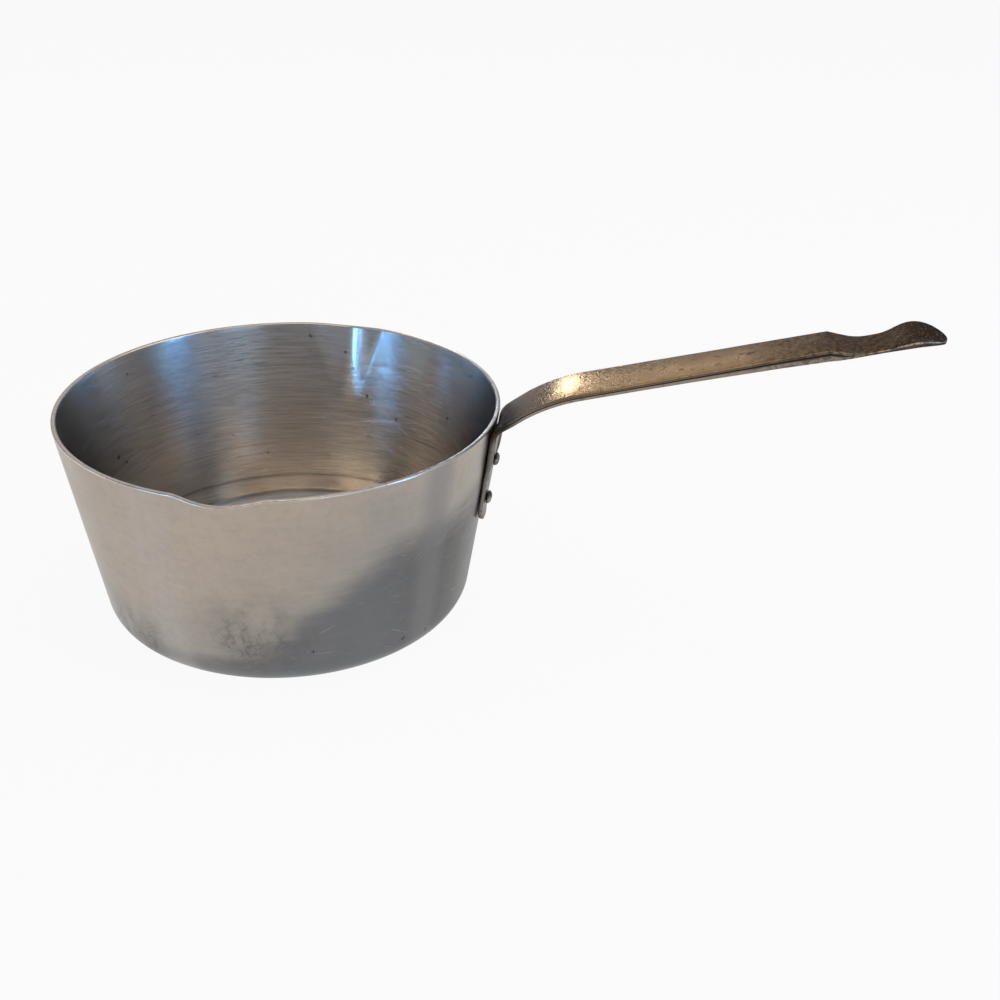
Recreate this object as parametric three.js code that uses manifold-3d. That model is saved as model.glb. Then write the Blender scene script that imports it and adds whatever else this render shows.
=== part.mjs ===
// Pour pot: a tapered aluminium pan with two pressed pouring lips and one riveted sheet-steel handle.
// Millimetres, +Z up. The origin is the centre of the base, on the surface the pan stands on.
// The handle runs out along +X, and the lips are at +Y and -Y.

import * as THREE from 'three';
import { mergeVertices } from 'three/addons/utils/BufferGeometryUtils.js';
import Module from 'manifold-3d';

const wasm = await Module();
wasm.setup();

const degrees = THREE.MathUtils.degToRad;

// Pan
const PAN_HEIGHT = 101;
const RIM_RADIUS = 101.6; // outside, at the rim
const BASE_RADIUS = 85.3; // outside, where the line of the wall meets the table
const PAN_SHEET = 2.2;
const BASE_CORNER = 13.3; // outside radius between base and wall
const RIM_ROUND = 0.7; // rounding of the two edges of the cut rim
const PAN_SIDES = 88;

// Pouring lips: the wall pressed outward in a V that widens up to the rim
const LIP_ANGLE = degrees(86.8); // round the pan, from the handle to the middle of each lip
const LIP_REACH = 3;
const LIP_DROP = 1.6; // how far the rim sinks at the middle of a lip
const LIP_HEIGHT = 40;
const LIP_HALF_WIDTH = 20; // along the rim
const LIP_FOOT_HALF_WIDTH = 8;
const LIP_CROWDING = 0.25; // how much closer the sides of the pan stand near the lips

// Handle: a shank up the wall, a tight neck, a long sweep and a straight grip, all one sheet
const HANDLE_SHEET = 1.7;
const TOE_HEIGHT = 50.1; // lower end of the shank
const NECK_HEIGHT = 95.7; // where the shank leaves the wall
const NECK_RADIUS = 9.7;
const NECK_RISE = degrees(42.9); // slope of the handle after the neck
const SWEEP_RADIUS = 82.5;
const GRIP_RISE = degrees(15.2); // slope of the straight grip
const GRIP_LENGTH = 106.7; // straight part, up to the corner of the dip
const CROWN = 0.4; // rise of the grip's top at its middle line

// Turned-down edges of the handle, measured below the sheet
const EDGE_HEIGHT = 71; // where they begin on the shank
const FULL_EDGE_HEIGHT = 86; // where they have their depth at the neck
const NECK_EDGE = 1.15;
const GRIP_EDGE = 3; // at the corner of the dip
const DIP_EDGE = 0.15;
const HUMP_EDGE = 1.8;
const TIP_EDGE = 0.05;
const LEAST_EDGE = 0.5; // a lower edge is left solid
const EDGE_BEND = 1.1; // outside radius of the fold
const CUT_EDGE = 0.4; // rounding of the plain sheet where nothing is folded

// Hook end: a dip to hang the pan by, a hump and a beak that curls down
const DIP_DEPTH = 4.15;
const DIP_FALL = 15.3;
const DIP_FLOOR = 4.5;
const HUMP_RISE = 2.3;
const HUMP_RUN = 13.7;
const BEAK_LENGTH = 13.6;
const BEAK_DROP = 5.6;

// Half widths of the handle, seen from above or square to the wall
const TOE_HALF_WIDTH = 8;
const TOE_CORNER = 6;
const TOE_LIFT = 0.9; // the toe bends away from the wall
const TOE_LIFT_RUN = 9;
const SHANK_HALF_WIDTH = 12.5;
const NECK_HALF_WIDTH = 14.9;
const CORNER_HALF_WIDTH = 12.3; // at the corner of the dip
const DIP_HALF_WIDTH = 9.9;
const HUMP_HALF_WIDTH = 11.9;
const TIP_HALF_WIDTH = 0.6;
const BEAK_POINT = 0.56; // 0.5 is a round beak, and more is sharper
const TIP_CUT = 0.6; // upright face left at the tip, which is cut square to the curled sheet

// Rivets
const RIVET_HEIGHTS = { rivet_lower: 60.3, rivet_upper: 80.3 };
const RIVET_RADIUS = 1.9;
const OUTER_HEAD_RADIUS = 3;
const OUTER_HEAD_HEIGHT = 2.2;
const OUTER_HEAD_EDGE = 0.8; // straight side under the dome
const INNER_HEAD_RADIUS = 4.4;
const INNER_HEAD_HEIGHT = 1.3;
const INNER_HEAD_EDGE = 0.5;
const RIVET_SIDES = 20;

const SEAT_GAP = 0.3; // between pieces that sit on each other
const HOLE_GAP = 0.25; // around a rivet in its hole

const wallLean = Math.atan2(RIM_RADIUS - BASE_RADIUS, PAN_HEIGHT);
const wallRadius = (height) => THREE.MathUtils.lerp(BASE_RADIUS, RIM_RADIUS, height / PAN_HEIGHT);
const ease = (value, from, to) => THREE.MathUtils.smoothstep(value, from, to);

function spread(from, to, steps) {
  return Array.from({ length: steps + 1 }, (_, i) => from + (to - from) * i / steps);
}

function arc(center, radius, from, to, steps) {
  return spread(from, to, steps).map((angle) =>
    new THREE.Vector2(center.x + radius * Math.cos(angle), center.y + radius * Math.sin(angle)));
}

// A closed geometry as a solid, without the empty triangles that a lathe leaves on its axis.
function toSolid(geometry) {
  const bare = new THREE.BufferGeometry().setAttribute('position', geometry.getAttribute('position'));
  bare.setIndex(geometry.index);
  const merged = mergeVertices(bare, 1e-3);
  const corners = merged.index.array;
  const triVerts = [];
  for (let i = 0; i < corners.length; i += 3) {
    const [a, b, c] = corners.slice(i, i + 3);
    if (a !== b && b !== c && c !== a) triVerts.push(a, b, c);
  }
  return new wasm.Manifold(new wasm.Mesh({
    numProp: 3,
    vertProperties: merged.getAttribute('position').array,
    triVerts: new Uint32Array(triVerts),
  }));
}

function toMesh(name, solid, color, metalness, roughness) {
  const { vertProperties, triVerts } = solid.getMesh();
  const geometry = new THREE.BufferGeometry();
  geometry.setAttribute('position', new THREE.BufferAttribute(vertProperties, 3));
  geometry.setIndex(new THREE.BufferAttribute(triVerts, 1));
  geometry.computeVertexNormals();
  const mesh = new THREE.Mesh(geometry, new THREE.MeshStandardMaterial({ color, metalness, roughness }));
  mesh.name = name;
  return mesh;
}

// A closed body through rings of points that all have the same count, with a flat cap at each end.
function loft(rings) {
  const count = rings[0].length;
  const corners = [];
  for (let ring = 0; ring + 1 < rings.length; ring++) {
    for (let i = 0; i < count; i++) {
      const a = ring * count + i;
      const b = ring * count + (i + 1) % count;
      corners.push(a, b, a + count, b, b + count, a + count);
    }
  }
  const last = (rings.length - 1) * count;
  for (let i = 1; i + 1 < count; i++) {
    corners.push(0, i + 1, i, last, last + i, last + i + 1);
  }
  return new THREE.BufferGeometry().setFromPoints(rings.flat()).setIndex(corners);
}

// A body turned about the rivet's axis, which stands square to the wall at the given height.
// Heights along the profile count outward from the outside of the wall.
function turnedOnWall(profile, height) {
  const geometry = new THREE.LatheGeometry(profile, RIVET_SIDES);
  geometry.rotateX(Math.PI / 2).rotateY(Math.PI / 2 + wallLean);
  geometry.translate(wallRadius(height), 0, height);
  return toSolid(geometry);
}

function rivetHole(height) {
  const radius = RIVET_RADIUS + HOLE_GAP;
  const reach = 4 * PAN_SHEET;
  const profile = [[0, -reach], [radius, -reach], [radius, reach], [0, reach]];
  return turnedOnWall(profile.map(([r, along]) => new THREE.Vector2(r, along)), height);
}

function punch(sheet) {
  return Object.values(RIVET_HEIGHTS).reduce((rest, height) => rest.subtract(rivetHole(height)), sheet);
}

// Pan: the section of the sheet turned about Z. The inside follows the outside at one sheet thickness.
function panSection() {
  const cornerTurn = Math.PI / 2 - wallLean;
  const center = new THREE.Vector2(BASE_RADIUS - BASE_CORNER * Math.tan(cornerTurn / 2), BASE_CORNER);
  const outerCorner = arc(center, BASE_CORNER, -Math.PI / 2, -wallLean, 5);
  const innerCorner = arc(center, BASE_CORNER - PAN_SHEET, -wallLean, -Math.PI / 2, 5);
  const rimHeight = PAN_HEIGHT - RIM_ROUND;
  const inFromWall = (depth) =>
    new THREE.Vector2(wallRadius(rimHeight) - depth / Math.cos(wallLean), rimHeight);
  const outerRim = arc(inFromWall(RIM_ROUND), RIM_ROUND, -wallLean, Math.PI / 2, 3);
  const innerRim = arc(inFromWall(PAN_SHEET - RIM_ROUND), RIM_ROUND, Math.PI / 2, Math.PI - wallLean, 3);
  const rows = (from, to) => {
    const foot = (PAN_HEIGHT - LIP_HEIGHT - from.y) / (to.y - from.y);
    return spread(foot, 1, 7).slice(0, -1).map((share) => from.clone().lerp(to, share));
  };
  return [
    new THREE.Vector2(0, 0),
    ...outerCorner,
    ...rows(outerCorner.at(-1), outerRim[0]),
    ...outerRim,
    ...innerRim,
    ...rows(innerCorner[0], innerRim.at(-1)).reverse(),
    ...innerCorner,
    new THREE.Vector2(0, PAN_SHEET),
  ];
}

// Moves the turned wall outward and down at the two lips, both faces of the sheet alike.
function pressLips(geometry) {
  const point = new THREE.Vector3();
  const position = geometry.getAttribute('position');
  for (let i = 0; i < position.count; i++) {
    point.fromBufferAttribute(position, i);
    const even = Math.atan2(point.y, point.x);
    const angle = even + LIP_CROWDING * Math.sin(2 * even);
    const rise = Math.max(0, 1 - (PAN_HEIGHT - point.z) / LIP_HEIGHT);
    const half = THREE.MathUtils.lerp(LIP_FOOT_HALF_WIDTH, LIP_HALF_WIDTH, rise);
    const across = Math.min(1, RIM_RADIUS * Math.abs(Math.abs(angle) - LIP_ANGLE) / half);
    const swell = rise * (1 - across ** 2) ** 1.5;
    const radius = Math.hypot(point.x, point.y) + LIP_REACH * swell;
    position.setXYZ(i, radius * Math.cos(angle), radius * Math.sin(angle), point.z - LIP_DROP * rise * swell);
  }
}

function makePan() {
  const geometry = new THREE.LatheGeometry(panSection(), PAN_SIDES);
  geometry.rotateX(Math.PI / 2);
  pressLips(geometry);
  return punch(toSolid(geometry));
}

// Handle: distances run along its top face, from the toe to the tip of the beak.
const shankRise = Math.PI / 2 - wallLean;
const alongWall = (height) => (height - TOE_HEIGHT) / Math.cos(wallLean);
const neckStart = alongWall(NECK_HEIGHT);
const sweepStart = neckStart + NECK_RADIUS * (shankRise - NECK_RISE);
const gripStart = sweepStart + SWEEP_RADIUS * (NECK_RISE - GRIP_RISE);
const dipStart = gripStart + GRIP_LENGTH;
const humpStart = dipStart + DIP_FALL + DIP_FLOOR;
const beakStart = humpStart + HUMP_RUN;
const handleEnd = beakStart + BEAK_LENGTH;
const edgeStart = alongWall(EDGE_HEIGHT);
const fullEdge = alongWall(FULL_EDGE_HEIGHT);

// The line the sheet is bent along: its place, and the unit normal of the face that is uppermost on the grip.
function track(distance) {
  const bends = [
    { length: neckStart, radius: Infinity },
    { length: sweepStart - neckStart, radius: NECK_RADIUS },
    { length: gripStart - sweepStart, radius: SWEEP_RADIUS },
    { length: handleEnd - gripStart, radius: Infinity },
  ];
  let rise = shankRise;
  let x = wallRadius(TOE_HEIGHT) + SEAT_GAP * Math.cos(wallLean);
  let z = TOE_HEIGHT - SEAT_GAP * Math.sin(wallLean);
  let left = distance;
  for (const { length, radius } of bends) {
    const run = Math.min(left, length);
    const turn = run / radius;
    const chord = turn > 0 ? 2 * radius * Math.sin(turn / 2) : run;
    x += chord * Math.cos(rise - turn / 2);
    z += chord * Math.sin(rise - turn / 2);
    rise -= turn;
    left -= run;
  }
  return { x, z, normal: { x: -Math.sin(rise), z: Math.cos(rise) } };
}

// Shares of the way into the dip and up the hump.
function fallShare(distance) {
  return Math.sin(THREE.MathUtils.clamp((distance - dipStart) / DIP_FALL, 0, 1) * Math.PI / 2);
}

function humpShare(distance) {
  return ease(distance, humpStart, beakStart);
}

// How far the whole top face lies below that line, with the lifted toe and the curled beak.
function sink(distance) {
  const toe = Math.max(0, 1 - distance / TOE_LIFT_RUN);
  const beak = Math.max(0, (distance - beakStart) / BEAK_LENGTH);
  const dip = DIP_DEPTH * fallShare(distance) - HUMP_RISE * humpShare(distance);
  return TOE_LIFT * toe ** 2 + dip + BEAK_DROP * beak ** 2;
}

// Depth of the turned-down edges below the sheet. They all but vanish in the dip, so that their lower line
// runs straight on to the beak.
function edge(distance) {
  const grip = THREE.MathUtils.clamp((distance - gripStart) / GRIP_LENGTH, 0, 1);
  const beak = Math.max(0, (distance - beakStart) / BEAK_LENGTH);
  const depth = NECK_EDGE * ease(distance, edgeStart, fullEdge)
    + (GRIP_EDGE - NECK_EDGE) * grip ** 2
    + (DIP_EDGE - GRIP_EDGE) * fallShare(distance)
    + (HUMP_EDGE - DIP_EDGE) * humpShare(distance);
  return THREE.MathUtils.lerp(depth, TIP_EDGE, beak ** 2);
}

// Half the width of the sheet, or of the hollow that lies one inset within its outline.
function halfWidth(distance, inset) {
  const corner = TOE_CORNER - Math.min(distance, TOE_CORNER);
  const toe = TOE_HALF_WIDTH - TOE_CORNER + Math.sqrt(TOE_CORNER ** 2 - corner ** 2);
  const taper = THREE.MathUtils.clamp((distance - sweepStart) / (dipStart - sweepStart), 0, 1);
  const width = toe - inset
    + (SHANK_HALF_WIDTH - TOE_HALF_WIDTH) * ease(distance, TOE_CORNER, neckStart)
    + (NECK_HALF_WIDTH - SHANK_HALF_WIDTH) * ease(distance, neckStart, sweepStart)
    + (CORNER_HALF_WIDTH - NECK_HALF_WIDTH) * taper
    + (DIP_HALF_WIDTH - CORNER_HALF_WIDTH) * ease(distance, dipStart, dipStart + DIP_FALL)
    + (HUMP_HALF_WIDTH - DIP_HALF_WIDTH) * humpShare(distance);
  const beak = THREE.MathUtils.clamp((distance - beakStart) / (BEAK_LENGTH - inset), 0, 1);
  return TIP_HALF_WIDTH + (width - TIP_HALF_WIDTH) * Math.max(0, 1 - beak ** 2) ** BEAK_POINT;
}

// Stations stand close together wherever the outline or the side view turns.
function stations(inset) {
  const round = (steps) => spread(0, Math.PI / 2, steps);
  return [
    ...round(5).map((angle) => TOE_CORNER * (1 - Math.cos(angle))),
    ...spread(TOE_CORNER, edgeStart, 3).slice(1),
    ...spread(edgeStart, neckStart, 5).slice(1),
    ...spread(neckStart, sweepStart, 8).slice(1),
    ...spread(sweepStart, gripStart, 6).slice(1),
    ...spread(gripStart, dipStart, 6).slice(1),
    ...spread(dipStart, dipStart + DIP_FALL, 6).slice(1),
    ...spread(dipStart + DIP_FALL, humpStart, 2).slice(1),
    ...spread(humpStart, beakStart, 8).slice(1),
    ...round(8).slice(1).map((angle) => beakStart + (BEAK_LENGTH - inset) * Math.sin(angle)),
  ];
}

// One cross-section: straight sides, a rounded shoulder each side and a slightly crowned top.
function section(distance, half, top, bottom, shoulder) {
  const { x, z, normal } = track(distance);
  const crown = CROWN * ease(distance, neckStart, sweepStart) * Math.min(1, edge(distance) / NECK_EDGE);
  const right = spread(0, Math.PI / 2, 3).map((angle) =>
    [half - shoulder * (1 - Math.cos(angle)), top + shoulder * (1 - Math.sin(angle))]);
  const middle = [0.5, 0, -0.5].map((share) => [share * (half - shoulder), top]);
  const left = right.map(([y, down]) => [-y, down]).reverse();
  return [[half, bottom], ...right, ...middle, ...left, [-half, bottom]].map(([y, down]) => {
    const lift = crown * (1 - (y / half) ** 2) - sink(distance) - down;
    return new THREE.Vector3(x + normal.x * lift, y, z + normal.z * lift);
  });
}

function makeHandle() {
  const shoulder = (distance) => Math.min(EDGE_BEND, CUT_EDGE + edge(distance));
  const outside = stations(0).map((distance) => {
    const cut = TIP_CUT + (handleEnd - distance) * BEAK_LENGTH / (2 * BEAK_DROP);
    const depth = Math.min(HANDLE_SHEET + edge(distance), cut);
    return section(distance, halfWidth(distance, 0), 0, depth, Math.min(shoulder(distance), depth / 2));
  });
  const hollow = stations(HANDLE_SHEET).map((distance) => {
    const roof = HANDLE_SHEET + Math.max(0, LEAST_EDGE - edge(distance));
    const open = 2 * HANDLE_SHEET + edge(distance);
    return section(distance, halfWidth(distance, HANDLE_SHEET), roof, open,
      Math.max(CUT_EDGE, shoulder(distance) - HANDLE_SHEET));
  });
  return punch(toSolid(loft(outside)).subtract(toSolid(loft(hollow))));
}

// Rivets: a low head inside the pan, a body through wall and shank, and a domed head on the shank.
function makeRivet(height) {
  const innerSeat = -PAN_SHEET - SEAT_GAP;
  const outerSeat = HANDLE_SHEET + 2 * SEAT_GAP;
  const dome = (radius, straight, rise) => spread(0, Math.PI / 2, 4).map((angle) =>
    new THREE.Vector2(radius * Math.cos(angle), straight + (rise - straight) * Math.sin(angle)));
  const inner = dome(INNER_HEAD_RADIUS, INNER_HEAD_EDGE, INNER_HEAD_HEIGHT).reverse();
  const outer = dome(OUTER_HEAD_RADIUS, OUTER_HEAD_EDGE, OUTER_HEAD_HEIGHT);
  return turnedOnWall([
    ...inner.map(({ x, y }) => new THREE.Vector2(x, innerSeat - y)),
    new THREE.Vector2(INNER_HEAD_RADIUS, innerSeat),
    new THREE.Vector2(RIVET_RADIUS, innerSeat),
    new THREE.Vector2(RIVET_RADIUS, outerSeat),
    new THREE.Vector2(OUTER_HEAD_RADIUS, outerSeat),
    ...outer.map(({ x, y }) => new THREE.Vector2(x, outerSeat + y)),
  ], height);
}

const pourPot = new THREE.Group();
pourPot.add(toMesh('pan', makePan(), 0xb9b6b0, 0.9, 0.35));
pourPot.add(toMesh('handle', makeHandle(), 0x8d7c66, 0.85, 0.4));
for (const [name, height] of Object.entries(RIVET_HEIGHTS)) {
  pourPot.add(toMesh(name, makeRivet(height), 0x8e8c88, 0.9, 0.45));
}

export default pourPot;
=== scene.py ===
# Pour pot: a tapered aluminium pan with a pouring lip each side and a riveted sheet-steel handle.

import math

import bpy
from mathutils import Euler, Matrix, Vector, noise


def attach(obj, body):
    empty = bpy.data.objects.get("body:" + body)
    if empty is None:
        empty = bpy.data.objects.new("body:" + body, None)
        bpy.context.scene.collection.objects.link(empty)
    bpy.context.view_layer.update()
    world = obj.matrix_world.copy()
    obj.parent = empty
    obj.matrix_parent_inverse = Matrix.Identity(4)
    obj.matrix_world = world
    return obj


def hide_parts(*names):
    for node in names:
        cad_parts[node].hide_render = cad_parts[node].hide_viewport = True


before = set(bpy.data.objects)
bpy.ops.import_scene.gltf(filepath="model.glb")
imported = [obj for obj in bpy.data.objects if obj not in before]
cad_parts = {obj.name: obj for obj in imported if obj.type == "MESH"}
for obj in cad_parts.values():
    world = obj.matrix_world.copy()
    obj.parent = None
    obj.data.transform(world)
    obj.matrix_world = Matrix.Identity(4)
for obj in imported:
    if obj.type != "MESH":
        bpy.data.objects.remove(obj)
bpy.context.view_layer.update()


# Pan: one disc of aluminium sheet drawn and spun to a tapered shell, trimmed at the rim.
# Two pouring lips are pressed into the wall, and years of use have scratched and stained it.
PAN_HEIGHT = 0.101
RIM_RADIUS = 0.1016
BASE_RADIUS = 0.0853
PAN_SHEET = 0.0022
BASE_CORNER = 0.0133
RIM_ROUND = 0.0007
PAN_SIDES = 352
LIP_CROWDING = 0.25
LIP_SIZES = {
    "Height": PAN_HEIGHT,
    "Rim Radius": RIM_RADIUS,
    "Lip Angle": math.radians(86.8),
    "Lip Reach": 0.003,
    "Lip Drop": 0.0016,
    "Lip Height": 0.04,
    "Lip Half Width": 0.02,
    "Lip Foot Half Width": 0.008,
    "Unevenness": 0.00016,
}

# Places along the pan's section, and how far from its middle the rim's wear and painted highlight fade, as
# shares of its points.
RIM_MIDDLE = 0.497
RIM_FADE = (0.041, 0.03)
INSIDE_START = 0.54

wall_lean = math.atan2(RIM_RADIUS - BASE_RADIUS, PAN_HEIGHT)


def wall_radius(height):
    return BASE_RADIUS + (RIM_RADIUS - BASE_RADIUS) * height / PAN_HEIGHT


def spread(start, end, steps):
    return [start + (end - start) * i / steps for i in range(steps + 1)]


def arc(center, radius, start, end, steps):
    x, y = center
    return [(x + radius * math.cos(a), y + radius * math.sin(a)) for a in spread(start, end, steps)]


def straight(start, end, steps):
    """The points between two points of a section, without either of them."""
    shares = spread(0, 1, steps)[1:-1]
    return [tuple(a + (b - a) * share for a, b in zip(start, end)) for share in shares]


def pan_section():
    """Radius and height along the cut sheet: base, outside, rim, inside and floor."""
    corner = (BASE_RADIUS - BASE_CORNER * math.tan((math.pi / 2 - wall_lean) / 2), BASE_CORNER)
    rim = PAN_HEIGHT - RIM_ROUND

    def in_from_wall(depth):
        return wall_radius(rim) - depth / math.cos(wall_lean), rim

    outer_corner = arc(corner, BASE_CORNER, -math.pi / 2, -wall_lean, 16)
    outer_rim = arc(in_from_wall(RIM_ROUND), RIM_ROUND, -wall_lean, math.pi / 2, 6)
    inner_rim = arc(in_from_wall(PAN_SHEET - RIM_ROUND), RIM_ROUND, math.pi / 2, math.pi - wall_lean, 6)
    inner_corner = arc(corner, BASE_CORNER - PAN_SHEET, -wall_lean, -math.pi / 2, 16)
    return [
        (0, 0), *straight((0, 0), outer_corner[0], 12),
        *outer_corner, *straight(outer_corner[-1], outer_rim[0], 44),
        *outer_rim, *inner_rim,
        *straight(inner_rim[-1], inner_corner[0], 44), *inner_corner,
        *straight(inner_corner[-1], (0, PAN_SHEET), 12), (0, PAN_SHEET),
    ]


def new_group(name, kind, takes, gives):
    """An empty node group, with its input node's and its output node's sockets."""
    tree = bpy.data.node_groups.new(name, kind)
    for direction, sockets in (("INPUT", takes), ("OUTPUT", gives)):
        for label, socket_type in sockets.items():
            tree.interface.new_socket(label, in_out=direction, socket_type=socket_type)
    return tree, tree.nodes.new("NodeGroupInput").outputs, tree.nodes.new("NodeGroupOutput").inputs


def feed(tree, socket, value):
    if isinstance(value, bpy.types.NodeSocket):
        tree.links.new(value, socket)
    else:
        socket.default_value = value


def add(tree, kind, inputs=None, **options):
    """A new node with its options set, and its inputs set or joined by name or by number."""
    node = tree.nodes.new(kind)
    for option, value in options.items():
        setattr(node, option, value)
    for label, value in (inputs or {}).items():
        feed(tree, node.inputs[label], value)
    return node


def calc(tree, operation, *values):
    return add(tree, "ShaderNodeMath", dict(enumerate(values)), operation=operation).outputs[0]


def turned_section_group():
    """Turns a section, drawn in X and Z, about the Z axis. Crowding moves the sides closer to the Y axis."""
    tree, given, made = new_group(
        "Turned section", "GeometryNodeTree",
        {"Section": "NodeSocketGeometry", "Sides": "NodeSocketInt", "Crowding": "NodeSocketFloat"},
        {"Geometry": "NodeSocketGeometry"},
    )
    size = add(tree, "GeometryNodeAttributeDomainSize", {"Geometry": given["Section"]})
    points = size.outputs["Point Count"]
    grid = add(tree, "GeometryNodeMeshGrid",
               {"Vertices X": calc(tree, "ADD", given["Sides"], 1), "Vertices Y": points})
    index = add(tree, "GeometryNodeInputIndex").outputs[0]
    row = calc(tree, "MODULO", index, points)
    side = calc(tree, "FLOOR", calc(tree, "DIVIDE", index, points))
    even = calc(tree, "MULTIPLY_ADD", calc(tree, "DIVIDE", side, given["Sides"]), 2 * math.pi, -math.pi)
    wave = calc(tree, "SINE", calc(tree, "MULTIPLY", even, 2))
    angle = calc(tree, "MULTIPLY_ADD", wave, given["Crowding"], even)
    place = add(tree, "GeometryNodeInputPosition").outputs[0]
    sample = add(tree, "GeometryNodeSampleIndex", {"Geometry": given["Section"], "Index": row},
                 data_type="FLOAT_VECTOR")
    tree.links.new(place, sample.inputs["Value"])
    drawn = add(tree, "ShaderNodeSeparateXYZ", {0: sample.outputs["Value"]}).outputs
    turned = add(tree, "ShaderNodeCombineXYZ", {
        "X": calc(tree, "MULTIPLY", drawn["X"], calc(tree, "COSINE", angle)),
        "Y": calc(tree, "MULTIPLY", drawn["X"], calc(tree, "SINE", angle)),
        "Z": drawn["Z"],
    }).outputs[0]
    shell = add(tree, "GeometryNodeSetPosition", {"Geometry": grid.outputs["Mesh"], "Position": turned})
    marked = add(tree, "GeometryNodeStoreNamedAttribute", {
        "Geometry": shell.outputs[0], "Name": "section", "Value": calc(tree, "DIVIDE", row, points),
    }, data_type="FLOAT", domain="POINT")
    closed = add(tree, "GeometryNodeMergeByDistance", {"Geometry": marked.outputs[0], "Distance": 1e-6})
    smooth = add(tree, "GeometryNodeSetShadeSmooth", {"Geometry": closed.outputs[0]})
    tree.links.new(smooth.outputs[0], made["Geometry"])
    return tree


turned_section = turned_section_group()


def pan_tree():
    """The turned shell with its wall pressed outward and down at the lips, and a little unevenness."""
    sizes = {label: "NodeSocketFloat" for label in LIP_SIZES}
    tree, given, made = new_group(
        "Pan", "GeometryNodeTree",
        {"Section": "NodeSocketGeometry", "Sides": "NodeSocketInt", "Crowding": "NodeSocketFloat", **sizes,
         "Outside": "NodeSocketMaterial", "Inside": "NodeSocketMaterial"},
        {"Geometry": "NodeSocketGeometry"},
    )
    shell = add(tree, "GeometryNodeGroup", node_tree=turned_section)
    for label in ("Section", "Sides", "Crowding"):
        feed(tree, shell.inputs[label], given[label])
    place = add(tree, "GeometryNodeInputPosition").outputs[0]
    at = add(tree, "ShaderNodeSeparateXYZ", {0: place}).outputs
    level = add(tree, "ShaderNodeCombineXYZ", {"X": at["X"], "Y": at["Y"]}).outputs[0]
    outward = add(tree, "ShaderNodeVectorMath", {0: level}, operation="NORMALIZE").outputs[0]
    below = calc(tree, "DIVIDE", calc(tree, "SUBTRACT", given["Height"], at["Z"]), given["Lip Height"])
    rise = calc(tree, "MAXIMUM", calc(tree, "SUBTRACT", 1, below), 0)
    flare = calc(tree, "SUBTRACT", given["Lip Half Width"], given["Lip Foot Half Width"])
    half = calc(tree, "MULTIPLY_ADD", flare, rise, given["Lip Foot Half Width"])
    angle = calc(tree, "ABSOLUTE", calc(tree, "ARCTAN2", at["Y"], at["X"]))
    aside = calc(tree, "ABSOLUTE", calc(tree, "SUBTRACT", angle, given["Lip Angle"]))
    across = calc(tree, "DIVIDE", calc(tree, "MULTIPLY", aside, given["Rim Radius"]), half)
    inner = calc(tree, "SUBTRACT", 1, calc(tree, "POWER", calc(tree, "MINIMUM", across, 1), 2))
    swell = calc(tree, "MULTIPLY", rise, calc(tree, "POWER", inner, 1.5))
    ripple = add(tree, "ShaderNodeTexNoise", {"Vector": place, "Scale": 16, "Detail": 1})
    wobble = calc(tree, "MULTIPLY", calc(tree, "SUBTRACT", ripple.outputs[0], 0.5), given["Unevenness"])
    press = calc(tree, "MULTIPLY_ADD", swell, given["Lip Reach"], wobble)
    fall = calc(tree, "MULTIPLY", calc(tree, "MULTIPLY", rise, swell), given["Lip Drop"])
    push = add(tree, "ShaderNodeVectorMath", {0: outward, "Scale": press}, operation="SCALE").outputs[0]
    drop = add(tree, "ShaderNodeCombineXYZ", {"Z": calc(tree, "MULTIPLY", fall, -1)}).outputs[0]
    move = add(tree, "ShaderNodeVectorMath", {0: push, 1: drop}, operation="ADD").outputs[0]
    pressed = add(tree, "GeometryNodeSetPosition", {"Geometry": shell.outputs[0], "Offset": move})
    outside = add(tree, "GeometryNodeSetMaterial",
                  {"Geometry": pressed.outputs[0], "Material": given["Outside"]})
    section = add(tree, "GeometryNodeInputNamedAttribute", {"Name": "section"}, data_type="FLOAT").outputs[0]
    inside = add(tree, "GeometryNodeSetMaterial", {
        "Geometry": outside.outputs[0], "Material": given["Inside"],
        "Selection": calc(tree, "GREATER_THAN", section, INSIDE_START),
    })
    tree.links.new(inside.outputs[0], made["Geometry"])
    return tree


def drawn_outline(name, points):
    """An object that holds a section as a chain of edges in X and Z."""
    mesh = bpy.data.meshes.new(name)
    mesh.from_pydata([(r, 0, z) for r, z in points], [(i, i + 1) for i in range(len(points) - 1)], [])
    piece = bpy.data.objects.new(name, mesh)
    bpy.context.scene.collection.objects.link(piece)
    return piece


def shape_by_tree(piece, tree, values):
    """Runs a geometry node tree on the piece and keeps the result as its plain mesh."""
    modifier = piece.modifiers.new(tree.name, "NODES")
    modifier.node_group = tree
    for item in tree.interface.items_tree:
        if item.in_out == "INPUT" and item.name in values:
            modifier[item.identifier] = values[item.name]
    graph = bpy.context.evaluated_depsgraph_get()
    mesh = bpy.data.meshes.new_from_object(
        piece.evaluated_get(graph), preserve_all_data_layers=True, depsgraph=graph)
    piece.modifiers.clear()
    piece.data = mesh


def ramp(tree, value, none_at, full_at):
    """A smooth change from 0 where the value is none_at to 1 where it is full_at."""
    node = add(tree, "ShaderNodeMapRange", {"Value": value, "From Min": none_at, "From Max": full_at},
               interpolation_type="SMOOTHSTEP")
    return node.outputs[0]


def blend(tree, share, first, second, blend_type="MIX"):
    """The first colour where share is 0 and the second where it is 1."""
    node = add(tree, "ShaderNodeMix", {0: share, 6: first, 7: second},
               data_type="RGBA", blend_type=blend_type)
    return node.outputs[2]


def lay(tree, color, mask, share, over):
    """The colour with another laid over it, by the share where the mask is 1."""
    return blend(tree, calc(tree, "MULTIPLY", mask, share), color, over)


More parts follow.
